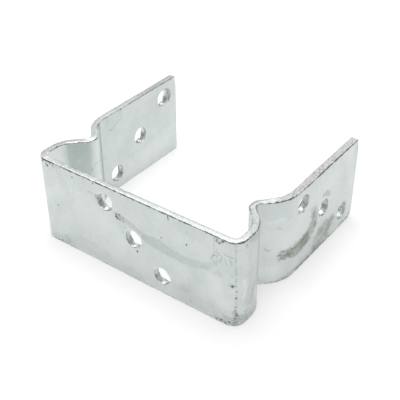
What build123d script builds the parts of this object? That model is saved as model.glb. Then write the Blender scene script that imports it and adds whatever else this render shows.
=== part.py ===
"""U-shaped post bracket, folded from one strip of galvanised flat steel.

The bracket stands on the lower edge of the strip. Its front plate faces -Y, its two arms
run back along +Y, and each arm has one V-shaped fold, pressed inwards, behind the front
corner. Nine round holes go through it: three in the front plate and three in each wing,
each three on a diagonal across the strip.

Frame, in millimetres: +Z up, X across the bracket, origin at the middle of the bounding
box's bottom face.
"""

from build123d import *
from math import cos, radians, tan
import os

# The strip
STRIP_WIDTH = 40.0
STRIP_THICKNESS = 3.0
ARRIS_RADIUS = 0.35  # the rounding that rolling and the zinc coat give every long edge
END_CORNER_RADIUS = 1.2  # the cropped corners at the ends of the wings

# The folded shape, over its outer faces
BRACKET_WIDTH = 100.0
BRACKET_DEPTH = 89.0

# Bends, as radii on the inside of each bend
CORNER_RADIUS = 2.5
FRONT_SHOULDER_RADIUS = 10.5
FOLD_TIP_RADIUS = 2.0
REAR_SHOULDER_RADIUS = 12.0

# The V-shaped fold in each arm
FOLD_TIP_SETBACK = 24.0  # from the front face to the tip of the fold
FOLD_DEPTH = 8.5  # how far the tip stands in from the arm
FOLD_ANGLE = 45.0  # of each leg of the fold, from the arm

# The holes
HOLE_DIAMETER = 8.0
HOLE_RIM_CHAMFER = 0.3  # the broken rim that punching and the zinc coat leave
HOLES_IN_ROW = 3
HOLE_RISE = 11.9  # from one hole to the next, across the strip
HOLE_ROW_LIFT = 0.3  # how far every row's middle stands above the strip's middle line
FRONT_HOLE_PITCH = 13.8  # from one hole to the next, along the front plate
FRONT_ROW_OFFSET = 0.9  # how far the front row's middle stands to the right of the plate's
WING_HOLE_PITCH = 17.3  # from one hole to the next, along a wing
LAST_HOLE_SETBACK = 10.0  # from the end of a wing to its last hole

SAME_SIZE = 0.01  # edges whose sizes differ by less than this are the same


def fold_path():
    """The middle line of the strip, from the end of the left wing to that of the right."""
    half = STRIP_THICKNESS / 2
    arm_x = BRACKET_WIDTH / 2 - half
    front_y = -BRACKET_DEPTH / 2
    end_y = BRACKET_DEPTH / 2
    tip_y = front_y + FOLD_TIP_SETBACK

    # The legs, drawn to a sharp tip, meet deeper than the rounded tip reaches.
    tip_radius = FOLD_TIP_RADIUS + half
    lean = radians(FOLD_ANGLE)
    sharp_depth = FOLD_DEPTH + tip_radius * (1 / cos(lean) - 1)
    tip_x = arm_x - sharp_depth
    leg_run = sharp_depth / tan(lean)

    right_side = [
        (arm_x, front_y + half),
        (arm_x, tip_y - leg_run),
        (tip_x, tip_y),
        (arm_x, tip_y + leg_run),
        (arm_x, end_y),
    ]
    left_side = [(-x, y) for x, y in reversed(right_side)]
    side_radii = [
        CORNER_RADIUS + half,
        FRONT_SHOULDER_RADIUS + half,
        tip_radius,
        REAR_SHOULDER_RADIUS + half,
    ]
    radii = side_radii[::-1] + side_radii
    return FilletPolyline(*left_side, *right_side, radius=radii)


def folded_strip():
    """The strip, square-edged, with the corners at its two ends cropped round."""
    section = trace(fold_path(), line_width=STRIP_THICKNESS)
    strip = extrude(section, amount=STRIP_WIDTH)
    corners = strip.edges().filter_by(Axis.X).group_by(Axis.Y)[-1]
    return fillet(corners, END_CORNER_RADIUS)


def hole_row(pitch, rise):
    """Local places of the holes in one row, in the plane of the face they go through."""
    steps = [index - (HOLES_IN_ROW - 1) / 2 for index in range(HOLES_IN_ROW)]
    return [(step * pitch, step * rise) for step in steps]


def hole_places():
    """A location for every hole, at the strip's middle, with its Z along the hole."""
    half = STRIP_THICKNESS / 2
    row_z = STRIP_WIDTH / 2 + HOLE_ROW_LIFT
    wing_x = BRACKET_WIDTH / 2 - half
    front_y = -BRACKET_DEPTH / 2 + half
    wing_middle_y = BRACKET_DEPTH / 2 - LAST_HOLE_SETBACK - WING_HOLE_PITCH * (HOLES_IN_ROW - 1) / 2

    front = Plane(origin=(FRONT_ROW_OFFSET, front_y, row_z), x_dir=(1, 0, 0), z_dir=(0, -1, 0))
    right_wing = Plane(origin=(wing_x, wing_middle_y, row_z), x_dir=(0, 1, 0), z_dir=(1, 0, 0))
    left_wing = Plane(origin=(-wing_x, wing_middle_y, row_z), x_dir=(0, -1, 0), z_dir=(-1, 0, 0))

    # Along the strip, from the left wing's end to the right wing's, every row runs downwards.
    rows = [(front, FRONT_HOLE_PITCH), (right_wing, WING_HOLE_PITCH), (left_wing, WING_HOLE_PITCH)]
    return [
        face.location * Location((along, up, 0))
        for face, pitch in rows
        for along, up in hole_row(pitch, -HOLE_RISE)
    ]


def arrises(strip):
    """The edges that run right round the strip's two broad faces."""
    across = strip.edges().filter_by(
        lambda edge: edge.geom_type == GeomType.LINE and abs(edge.length - STRIP_THICKNESS) < SAME_SIZE
    )
    bend_lines = strip.edges().filter_by(Axis.Z) - strip.edges().filter_by(Axis.Z).group_by(Axis.Y)[-1]
    return strip.edges() - across - bend_lines


def u_bracket():
    """The finished bracket: folded, punched, and with every arris and rim softened."""
    bracket = fillet(arrises(folded_strip()), ARRIS_RADIUS)
    for place in hole_places():
        bracket -= place * Cylinder(HOLE_DIAMETER / 2, STRIP_THICKNESS * 2)
    rims = bracket.edges().filter_by(
        lambda edge: edge.geom_type == GeomType.CIRCLE
        and edge.is_closed
        and abs(edge.radius - HOLE_DIAMETER / 2) < SAME_SIZE
    )
    return chamfer(rims, HOLE_RIM_CHAMFER)


if __name__ == "__main__":
    os.makedirs("parts", exist_ok=True)
    bracket = u_bracket()
    bracket.label = "u_bracket"
    export_step(bracket, "parts/u_bracket.step")
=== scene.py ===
"""The finished look of a galvanised U bracket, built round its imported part.

The bracket is one strip of flat steel, sheared to length, punched, folded and dipped in
zinc. Its skin is laid out on the flat strip first, where the shear marks, punched rims,
dents and scuffs are easy to place, and is then folded along the same line as the part.
Lengths are in millimetres until a mesh is made, and in metres after that.
"""

import itertools
import logging
import math
from dataclasses import dataclass, field
from enum import Enum
from typing import Any, Sequence

import bpy
import numpy as np
from mathutils import Matrix, Vector
from mathutils.geometry import delaunay_2d_cdt


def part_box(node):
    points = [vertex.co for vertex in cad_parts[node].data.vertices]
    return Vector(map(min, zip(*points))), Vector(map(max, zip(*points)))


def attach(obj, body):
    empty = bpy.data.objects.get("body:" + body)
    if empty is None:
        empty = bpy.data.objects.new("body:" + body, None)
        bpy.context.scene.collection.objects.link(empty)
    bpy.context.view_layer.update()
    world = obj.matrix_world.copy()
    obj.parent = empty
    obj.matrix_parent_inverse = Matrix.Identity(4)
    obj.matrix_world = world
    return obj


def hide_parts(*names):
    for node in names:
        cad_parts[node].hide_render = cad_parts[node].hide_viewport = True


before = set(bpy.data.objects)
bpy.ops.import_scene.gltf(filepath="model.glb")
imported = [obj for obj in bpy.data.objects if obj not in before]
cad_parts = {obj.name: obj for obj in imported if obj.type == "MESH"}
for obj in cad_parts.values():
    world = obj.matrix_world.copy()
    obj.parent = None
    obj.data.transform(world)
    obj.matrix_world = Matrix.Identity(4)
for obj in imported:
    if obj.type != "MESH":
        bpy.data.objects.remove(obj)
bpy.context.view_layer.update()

LOG = logging.getLogger("bracket")
MM = 0.001
NODE = "u_bracket"
PLACE = "strip_place"
# Soil, stain and bloom, where stain also carries painted shade and bloom painted highlights.
WEAR_AND_LIGHT = "strip_wear_and_light"
# Cut share, the shade painted along the arris, and tear.
EDGE = "strip_edge"
TINY = 1e-6
MIX_UNDER, MIX_OVER, MIX_RESULT = 6, 7, 2  # Where a Mix node has its colour sockets.
EVEN = 90.0  # A lump this long does not repeat across the strip, so it varies slowly that way.

Point = tuple[float, float, float]
Span = tuple[float, float]


class Side(Enum):
    """A broad face of the strip, by the sign of its distance from the strip's middle."""

    OUTER = 1
    INNER = -1


class Part(Enum):
    """A flat stretch of the folded strip that marks are placed on."""

    FRONT = "front"
    RIGHT_WING = "right wing"
    LEFT_WING = "left wing"


class Zone(Enum):
    """What a patch of the strip's skin is."""

    FACE = 0
    SHEARED = 1
    BORE = 2


def linear(colour: str) -> tuple[float, float, float, float]:
    """Turns an sRGB colour into the linear one that Blender's sockets take, by the sRGB standard.

    Args:
        colour: The colour as six hex digits after a hash sign.

    Returns:
        Red, green and blue on the linear scale, and an alpha of 1.
    """
    parts = [int(colour[i : i + 2], 16) / 255 for i in (1, 3, 5)]
    red, green, blue = (c / 12.92 if c <= 0.04045 else ((c + 0.055) / 1.055) ** 2.4 for c in parts)
    return red, green, blue, 1.0


def ease(value: np.ndarray, start: float = 0.0, end: float = 1.0) -> np.ndarray:
    """Runs smoothly from 0 where a value is at the start to 1 where it is at the end."""
    held = np.clip((value - start) / (end - start), 0.0, 1.0)
    return held * held * (3 - 2 * held)


def lumps(places: np.ndarray, cell: Point, seed: int) -> np.ndarray:
    """Smooth random lumps over places on the strip.

    Args:
        places: Places on the flat strip, one row each: along, up and through it.
        cell: The size of a lump in each of those directions, in millimetres.
        seed: Which lumps.

    Returns:
        One value for each place, from -1 to 1.
    """
    scaled = (places - places.min(axis=0)) / np.array(cell)
    base = np.floor(scaled).astype(int)
    share = ease(scaled - base)
    table = np.random.default_rng(seed).uniform(-1, 1, base.max(axis=0) + 2)
    total = np.zeros(len(places))
    for corner in itertools.product((0, 1), repeat=3):
        total += np.where(corner, share, 1 - share).prod(axis=1) * table[tuple((base + corner).T)]
    return total


@dataclass(frozen=True)
class Grain:
    """Layers of random lumps, each with its cell and its height, and the seed of the first."""

    seed: int
    layers: tuple[tuple[Point, float], ...]
    seed_step: int = 1

    def on(self, places: np.ndarray, shift: int = 0) -> np.ndarray:
        """Adds the layers up at places on the strip.

        Args:
            places: Along, height and distance from the middle of the sheet, one row per place.
            shift: What is added to every seed.

        Returns:
            One height per place.
        """
        total = np.zeros(len(places))
        for number, (cell, height) in enumerate(self.layers):
            total += height * lumps(places, cell, self.seed + number * self.seed_step + shift)
        return total


def rounded_path(corners: np.ndarray, steps: int = 5) -> np.ndarray:
    """Runs a smooth curve through the corners of a path, column by column.

    Args:
        corners: One row per corner.
        steps: How many points the curve gets from one corner to the next.

    Returns:
        One row per point of the curve. Fewer than three corners come back as they are.
    """
    if len(corners) < 3:
        return corners
    ends = np.concatenate([2 * corners[:1] - corners[1:2], corners, 2 * corners[-1:] - corners[-2:-1]])
    share = np.arange(1, steps + 1)[:, None] / steps
    pieces = [corners[:1]]
    for before, start, end, after in zip(ends, ends[1:], ends[2:], ends[3:]):
        slope = (end - before) * share
        curve = (2 * before - 5 * start + 4 * end - after) * share**2
        turn = (3 * start - before - 3 * end + after) * share**3
        pieces.append(0.5 * (2 * start + slope + curve + turn))
    return np.concatenate(pieces)


def follow(points: np.ndarray, path: np.ndarray) -> tuple[np.ndarray, ...]:
    """Finds the nearest place on a path for each point.

    Args:
        points: The points, one row each.
        path: The path, with one column more than the points, which is its width.

    Returns:
        For each point its distance from the path, how far along the path that is, how far to
        the path's left the point is, and the path's width there.
    """
    distance = np.hypot(*(points - path[0, :2]).T)
    gone, offset, width = np.zeros(len(points)), distance, np.full(len(points), path[0, 2])
    run = 0.0
    for start, end in zip(path, path[1:]):
        ahead = end[:2] - start[:2]
        length = float(np.hypot(*ahead))
        away = points - start[:2]
        share = np.clip(away @ ahead / length**2, 0, 1)
        here = np.hypot(*(away - share[:, None] * ahead).T)
        nearer = here <= distance
        distance = np.where(nearer, here, distance)
        gone = np.where(nearer, run + share * length, gone)
        offset = np.where(nearer, (ahead[0] * away[:, 1] - ahead[1] * away[:, 0]) / length, offset)
        width = np.where(nearer, start[2] + share * (end[2] - start[2]), width)
        run += length
    return distance, gone, offset, width


def boxed(points: np.ndarray, path: np.ndarray, margin: float) -> np.ndarray:
    """Picks the points inside the box round a path, let out by a margin on every side."""
    low, high = path[:, :2].min(axis=0) - margin, path[:, :2].max(axis=0) + margin
    return np.flatnonzero(((points > low) & (points < high)).all(axis=1))


@dataclass(frozen=True)
class StripSizes:
    """The strip and its fold, in millimetres, as the part has them."""

    width: float
    depth: float
    height: float
    thickness: float = 3.0
    arris_radius: float = 0.35
    end_corner_radius: float = 1.2
    corner_radius: float = 2.5
    fold_tip_radius: float = 2.0
    fold_depth: float = 8.5
    fold_angle: float = 45.0
    left_tip_setback: float = 23.7
    right_tip_setback: float = 24.4
    left_shoulder_radii: Span = (9.3, 12.6)
    right_shoulder_radii: Span = (12.0, 13.2)
    hole_radius: float = 4.0
    hole_rise: float = 11.9
    hole_row_lift: float = 0.3
    front_hole_pitch: float = 13.8
    front_row_offset: float = 0.9
    wing_hole_pitch: float = 17.3
    last_hole_setback: float = 10.0

    @property
    def half(self) -> float:
        """Half the strip's thickness."""
        return self.thickness / 2

    @staticmethod
    def from_part() -> "StripSizes":
        """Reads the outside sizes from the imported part's box."""
        low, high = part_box(NODE)
        return StripSizes(*((high - low) / MM))


class FoldLine:
    """The strip's middle line from above: straight runs joined by tangent arcs.

    A distance along it is measured from the middle of the front plate, positive to the right.
    """

    def __init__(self, sizes: StripSizes) -> None:
        """Works the runs and arcs out from the strip's sizes.

        Args:
            sizes: The strip's sizes.
        """
        arm_x = sizes.width / 2 - sizes.half
        front_y = -sizes.depth / 2 + sizes.half
        tip_radius = sizes.fold_tip_radius + sizes.half
        lean = math.radians(sizes.fold_angle)
        deep = sizes.fold_depth + tip_radius * (1 / math.cos(lean) - 1)
        reach = deep / math.tan(lean)
        sides: list[list[Point]] = []
        for sign, setback, shoulders in (
            (-1, sizes.left_tip_setback, sizes.left_shoulder_radii),
            (1, sizes.right_tip_setback, sizes.right_shoulder_radii),
        ):
            tip_y = -sizes.depth / 2 + setback
            corners = [
                (arm_x, front_y, sizes.corner_radius + sizes.half),
                (arm_x, tip_y - reach, shoulders[0] + sizes.half),
                (arm_x - deep, tip_y, tip_radius),
                (arm_x, tip_y + reach, shoulders[1] + sizes.half),
                (arm_x, sizes.depth / 2, 0.0),
            ]
            sides.append([(sign * x, y, radius) for x, y, radius in corners])
        self._lay([*reversed(sides[0]), *sides[1]])

    def _lay(self, corners: list[Point]) -> None:
        """Lays runs and arcs through the corners.

        Args:
            corners: Each corner's x and y, and the radius of its arc.
        """
        points = np.array([corner[:2] for corner in corners])
        headings = np.diff(points, axis=0)
        headings /= np.linalg.norm(headings, axis=1)[:, None]
        angles = np.unwrap(np.arctan2(headings[:, 1], headings[:, 0]))
        pieces: list[tuple[float, ...]] = []
        at, along = points[0], 0.0
        for index, (angle, after) in enumerate(zip(angles, [*angles[1:], angles[-1]])):
            turn, radius = after - angle, corners[index + 1][2]
            trim = radius * math.tan(abs(turn) / 2)
            run = float(np.dot(points[index + 1] - at, headings[index])) - trim
            pieces.append((along, *at, angle, 0.0))
            at, along = at + headings[index] * run, along + run
            if turn:
                pieces.append((along, *at, angle, math.copysign(1 / radius, turn)))
                at = points[index + 1] + headings[index + 1] * trim
                along += radius * abs(turn)
        table = np.array(pieces)
        front = next(row for row in table if row[4] == 0 and abs(row[3] % math.tau) < TINY)
        middle = front[0] - front[1]
        self.starts = table[:, 0] - middle
        self.origins = table[:, 1:3]
        self.angles = table[:, 3]
        self.bends = table[:, 4]
        self.left_end = float(-middle)
        self.right_end = float(along - middle)

    def _piece(self, along: np.ndarray) -> np.ndarray:
        """Which run or arc each distance falls on."""
        return np.clip(np.searchsorted(self.starts, along, side="right") - 1, 0, len(self.starts) - 1)

    def smooth_bend(
        self, along: np.ndarray, blur: float = 1.2, cuts: int = 4, ticks: int = 10
    ) -> np.ndarray:
        """How sharply the line turns at each distance, positive to the left, per millimetre.

        Args:
            along: Distances along the line.
            blur: How far the steps between runs and arcs are spread.
            cuts: How many ticks the blur is cut into.
            ticks: How many ticks the spread runs on either side.

        Returns:
            The turns.
        """
        tick = blur / cuts
        grid = np.arange(self.left_end, self.right_end + tick, tick)
        spread = np.exp(-((np.arange(-ticks, ticks + 1) / cuts) ** 2) / 2)
        turns = np.convolve(self.bends[self._piece(grid)], spread / spread.sum(), mode="same")
        return np.interp(along, grid, turns)

    def place(self, along: np.ndarray) -> tuple[np.ndarray, np.ndarray]:
        """Finds points on the line and the directions that point out of the bracket there.

        Args:
            along: Distances along the line.

        Returns:
            The points and the outward directions, one row each.
        """
        piece = self._piece(along)
        bend, angle = self.bends[piece], self.angles[piece]
        gone = along - self.starts[piece]
        turned = angle + bend * gone
        arc = np.where(bend == 0, 1.0, bend)
        x = np.where(bend == 0, gone * np.cos(angle), (np.sin(turned) - np.sin(angle)) / arc)
        y = np.where(bend == 0, gone * np.sin(angle), (np.cos(angle) - np.cos(turned)) / arc)
        points = self.origins[piece] + np.column_stack([x, y])
        return points, np.column_stack([np.sin(turned), -np.cos(turned)])

    def reach(self, part: Part, along: float) -> float:
        """The distance along the line of a place, given from the front's middle or a wing's end."""
        wings = {Part.RIGHT_WING: self.right_end - along, Part.LEFT_WING: self.left_end + along}
        return wings.get(part, along)

    def gaps(self, places: np.ndarray, height: float) -> np.ndarray:
        """How far places on the flat strip are from its right end, left end, top and foot."""
        along, up = places[:, 0], places[:, 1]
        return np.array([self.right_end - along, along - self.left_end, height - up, up])


@dataclass(frozen=True)
class Hole:
    """One punched hole: where its middle is on the flat strip, and its radius."""

    along: float
    up: float
    radius: float


@dataclass(frozen=True)
class Stroke:
    """One mark that the press or handling left on a broad face.

    Each point of its path says how far along the part and how far up it is, and how wide the
    mark is there. A path with one point is a speck. Some strokes are painted shade and painted
    highlights rather than marks. Lengths are in millimetres, and the tints run from 0 to 1.
    """

    part: Part
    side: Side
    path: tuple[Point, ...]
    soft: float = 0.35
    depth: float = 0.0
    lip: float = 0.0
    soil: float = 0.0
    # A darker tint, for stains, and for painted shade in some strokes.
    stain: float = 0.0
    # A paler tint, for zinc blooms, and for painted highlights in some strokes.
    bloom: float = 0.0
    ragged: float = 0.0
    brushed: float = 0.0
    fade: float = 0.0
    outline_cell: Point = (0.9, 0.9, 9.0)
    bristle_cell: Point = (7.0, 0.75, 1.0)
    half_soft: Span = (-0.5, 0.5)
    lip_gap: float = 0.25
    lip_spread: float = 0.3

    def course(self, line: FoldLine) -> np.ndarray:
        """The mark's path on the flat strip, rounded, with its width in the last column."""
        corners = [(line.reach(self.part, along), up, width) for along, up, width in self.path]
        return rounded_path(np.array(corners))

    def cover(self, places: np.ndarray, line: FoldLine, seed: int) -> tuple[np.ndarray, np.ndarray]:
        """How much of the mark lies on each place.

        Args:
            places: Places on the flat strip, one row each.
            line: The strip's fold line.
            seed: Which ragged outline and which bristle lines.

        Returns:
            The mark's cover and its raised lip, each from 0 to 1.
        """
        distance, gone, offset, width = follow(places[:, :2], self.course(line))
        inside = width / 2 - distance + self.ragged * lumps(places, self.outline_cell, seed)
        cover = ease(inside / self.soft, *self.half_soft)
        cover *= 1 - self.fade * gone / max(float(gone.max()), TINY)
        if self.brushed:
            bristles = lumps(np.column_stack([gone, offset, offset * 0]), self.bristle_cell, seed + 1)
            cover *= 1 - self.brushed * ease(bristles, *self.half_soft)
        return cover, np.exp(-(((inside + self.lip_gap) / self.lip_spread) ** 2))


@dataclass(frozen=True)
class Pen:
    """Draws marks on one broad face of one part of the bracket."""

    part: Part
    side: Side

    def __call__(self, *path: Point, **look: float) -> Stroke:
        """Draws one mark along a path, with its look by the names of a stroke's fields."""
        return Stroke(self.part, self.side, path, **look)


@dataclass(frozen=True)
class Nick:
    """A small knock out of an arris: where it is, how wide and deep, in millimetres."""

    along: float
    up: float
    through: float
    radius: float
    depth: float
    soil: float


@dataclass
class Skin:
    """The strip's skin as arrays, with one row for each vertex or face.

    The wear columns are soil, stain, which also carries painted shade, and bloom, which also
    carries painted highlights. The edge columns are how much a vertex belongs to a cut edge, how
    dark the shade painted along its arris is, and how torn the cut is there.
    """

    places: np.ndarray
    normals: np.ndarray
    zones: np.ndarray
    faces: list[tuple[int, ...]]
    wear_and_light: np.ndarray = field(init=False)
    edge: np.ndarray = field(init=False)

    def __post_init__(self) -> None:
        """Starts the skin clean."""
        self.wear_and_light, self.edge = (np.zeros((len(self.places), 3)) for _ in range(2))


@dataclass(frozen=True)
class Loop:
    """A closed line round the strip's outline or a hole, on the flat strip.

    The points run so that the steel lies on their left, and the normals point out of it.
    """

    points: np.ndarray
    normals: np.ndarray
    zone: Zone
    arris_radius: float


@dataclass(frozen=True)
class FlatStrip:
    """The strip before it is folded: its outline, its holes and its triangulated faces.

    Lengths are in millimetres. A gap is how far the face's own points stay from a loop, as a
    share of the mesh step. A mark whose edge is softer than a sharp one needs no finer mesh.
    """

    sizes: StripSizes
    line: FoldLine
    mesh_step: float = 0.68
    fine_share: int = 2
    hole_points: int = 72
    corner_steps: int = 5
    arris_steps: int = 4
    wall_steps: int = 6
    rim_radius: float = 0.4
    coat: float = 0.08
    edge_gap: float = 0.45
    rim_gap: float = 0.4
    mark_margin: float = 0.9
    sharp_mark: float = 1.8
    merge_distance: float = 1e-7
    least_area: float = 1e-9

    def holes(self) -> list[Hole]:
        """Finds the holes on the flat strip.

        Returns:
            The nine holes, row by row.
        """
        sizes = self.sizes
        wing_middle = sizes.last_hole_setback + sizes.wing_hole_pitch
        rows = [
            (sizes.front_row_offset, sizes.front_hole_pitch),
            (self.line.reach(Part.RIGHT_WING, wing_middle), sizes.wing_hole_pitch),
            (self.line.reach(Part.LEFT_WING, wing_middle), sizes.wing_hole_pitch),
        ]
        middle = sizes.height / 2 + sizes.hole_row_lift
        return [
            Hole(along + step * pitch, middle - step * sizes.hole_rise, sizes.hole_radius - self.coat)
            for along, pitch in rows
            for step in (-1, 0, 1)
        ]

    def outline(self) -> Loop:
        """Draws the strip's outline.

        Returns:
            A long rectangle with rounded corners.
        """
        left, right, top = self.line.left_end, self.line.right_end, self.sizes.height
        radius = self.sizes.end_corner_radius
        points: list[np.ndarray] = []
        normals: list[np.ndarray] = []
        corners = np.array([(left, 0.0), (right, 0.0), (right, top), (left, top), (left, 0.0)])
        for index, (start, corner) in enumerate(zip(corners, corners[1:])):
            angle = math.pi / 2 * (index - 1)
            out = np.array([round(math.cos(angle)), round(math.sin(angle))])
            ahead = np.array([-out[1], out[0]])
            length = abs(np.dot(corner - start, ahead)) - 2 * radius
            count = round(length / self.mesh_step)
            for step in range(count):
                points.append(start + ahead * (radius + length * step / count))
                normals.append(out)
            centre = corner - (ahead + out) * radius
            for step in range(self.corner_steps):
                turn = angle + math.pi / 2 * step / self.corner_steps
                normals.append(np.array([math.cos(turn), math.sin(turn)]))
                points.append(centre + normals[-1] * radius)
        return Loop(np.array(points), np.array(normals), Zone.SHEARED, self.sizes.arris_radius)

    def rim(self, hole: Hole) -> Loop:
        """Draws the rim of one hole.

        Args:
            hole: The hole.

        Returns:
            Its circle, run clockwise so that the steel lies on its left.
        """
        turn = -np.linspace(0, math.tau, self.hole_points, endpoint=False)
        spoke = np.column_stack([np.cos(turn), np.sin(turn)])
        points = np.array([hole.along, hole.up]) + spoke * hole.radius
        return Loop(points, -spoke, Zone.BORE, self.rim_radius)

    def section(self, radius: float) -> list[Point]:
        """The cut edge in section: how far in, how far through, and the way each point faces.

        Args:
            radius: The rounding of both arrises.

        Returns:
            For each point its inset, its distance from the strip's middle and its angle, which
            is 90 degrees on the outer face, 0 on the cut edge and -90 degrees on the inner face.
        """
        flat = self.sizes.half - radius
        angles = [math.pi / 2 * (1 - index / self.arris_steps) for index in range(self.arris_steps + 1)]
        outer = [(radius * (1 - math.cos(a)), flat + radius * math.sin(a), a) for a in angles]
        wall = [(0.0, flat * (1 - 2 * index / self.wall_steps), 0.0) for index in range(1, self.wall_steps)]
        return outer + wall + [(inset, -through, -angle) for inset, through, angle in reversed(outer)]

    def lattice(self, holes: Sequence[Hole], courses: Sequence[np.ndarray]) -> np.ndarray:
        """Points to mesh a face with, closer together round the marks.

        Args:
            holes: The holes in the face.
            courses: The paths of the marks, with their widths.

        Returns:
            The points, one row each.
        """
        fine = self.mesh_step / self.fine_share
        along = np.arange(self.line.left_end, self.line.right_end, fine)
        up = np.arange(0, self.sizes.height, fine)
        points = np.stack(np.meshgrid(along, up, indexing="ij"), axis=-1)
        keep = np.zeros(points.shape[:2], bool)
        keep[:: self.fine_share, :: self.fine_share] = True
        points, keep = points.reshape(-1, 2), keep.ravel()
        for course in courses:
            near = boxed(points, course, course[:, 2].max() / 2 + self.mark_margin)
            distance, _, _, width = follow(points[near], course)
            keep[near] |= distance < width / 2 + self.mark_margin
        inset = self.sizes.arris_radius + self.mesh_step * self.edge_gap
        keep &= self.line.gaps(points, self.sizes.height).min(axis=0) > inset
        clear = self.rim_radius + self.mesh_step * self.rim_gap
        for hole in holes:
            keep &= np.hypot(points[:, 0] - hole.along, points[:, 1] - hole.up) > hole.radius + clear
        return points[keep]

    def skin(self, courses: dict[Side, list[np.ndarray]]) -> Skin:
        """Builds the flat strip's whole skin.

        Args:
            courses: For each side, the paths of the marks, which need a finer mesh.

        Returns:
            The skin, with its faces wound outwards.
        """
        holes = self.holes()
        places: list[np.ndarray] = []
        normals: list[np.ndarray] = []
        zones: list[np.ndarray] = []
        faces: list[tuple[int, ...]] = []
        rims: dict[Side, list[tuple[int, np.ndarray]]] = {Side.OUTER: [], Side.INNER: []}
        total = 0
        for loop in (self.outline(), *(self.rim(hole) for hole in holes)):
            section = self.section(loop.arris_radius)
            count = len(loop.points)
            for inset, through, angle in section:
                places.append(np.column_stack([loop.points - loop.normals * inset, np.full(count, through)]))
                turned = [loop.normals * math.cos(angle), np.full(count, math.sin(angle))]
                normals.append(np.column_stack(turned))
            zones.append(np.full(count * len(section), loop.zone.value))
            last = total + (len(section) - 1) * count
            for here in range(total, last, count):
                for index, after in zip(range(count), [*range(1, count), 0]):
                    faces.append((here + index, here + count + index, here + count + after, here + after))
            rims[Side.OUTER].append((total, loop.points - loop.normals * section[0][0]))
            rims[Side.INNER].append((last, loop.points - loop.normals * section[-1][0]))
            total = last + count
        for side in Side:
            inner = self.lattice(holes, courses[side])
            faces += self._triangles([*rims[side], (total, inner)], holes, side)
            places.append(np.column_stack([inner, np.full(len(inner), side.value * self.sizes.half)]))
            normals.append(np.tile([0.0, 0.0, float(side.value)], (len(inner), 1)))
            zones.append(np.full(len(inner), Zone.FACE.value))
            total += len(inner)
        return Skin(np.concatenate(places), np.concatenate(normals), np.concatenate(zones), faces)

    def _triangles(
        self, groups: list[tuple[int, np.ndarray]], holes: Sequence[Hole], side: Side
    ) -> list[tuple[int, ...]]:
        """Triangulates one broad face.

        Args:
            groups: The face's rims and then its own points, each with the number of its first
                vertex in the skin.
            holes: The holes in the face.
            side: Which face it is.

        Returns:
            The triangles, by the skin's vertices.
        """
        edges: list[tuple[int, int]] = []
        first = 0
        for _, rim in groups[:-1]:
            edges += [(first + i, first + (i + 1) % len(rim)) for i in range(len(rim))]
            first += len(rim)
        numbers = np.concatenate([start + np.arange(len(points)) for start, points in groups])
        points = [Vector(point) for _, group in groups for point in group]
        # Type 0 fills the holes too, and the triangles in them are dropped below.
        made, _, triangles, origins, *_ = delaunay_2d_cdt(points, edges, [], 0, self.merge_distance)
        flat = np.array([point[:] for point in made])
        source = np.array([ids[0] for ids in origins])
        corners = np.array([tuple(triangle) for triangle in triangles])
        middles = flat[corners].mean(axis=1)
        a, b, c = (flat[corners[:, i]] for i in range(3))
        area = (b[:, 0] - a[:, 0]) * (c[:, 1] - a[:, 1]) - (b[:, 1] - a[:, 1]) * (c[:, 0] - a[:, 0])
        keep = abs(area) > self.least_area
        for hole in holes:
            keep &= np.hypot(middles[:, 0] - hole.along, middles[:, 1] - hole.up) > hole.radius
        corners = np.where(((area < 0) == (side is Side.OUTER))[:, None], corners[:, ::-1], corners)[keep]
        return [tuple(row) for row in numbers[source[corners]].tolist()]


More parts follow.
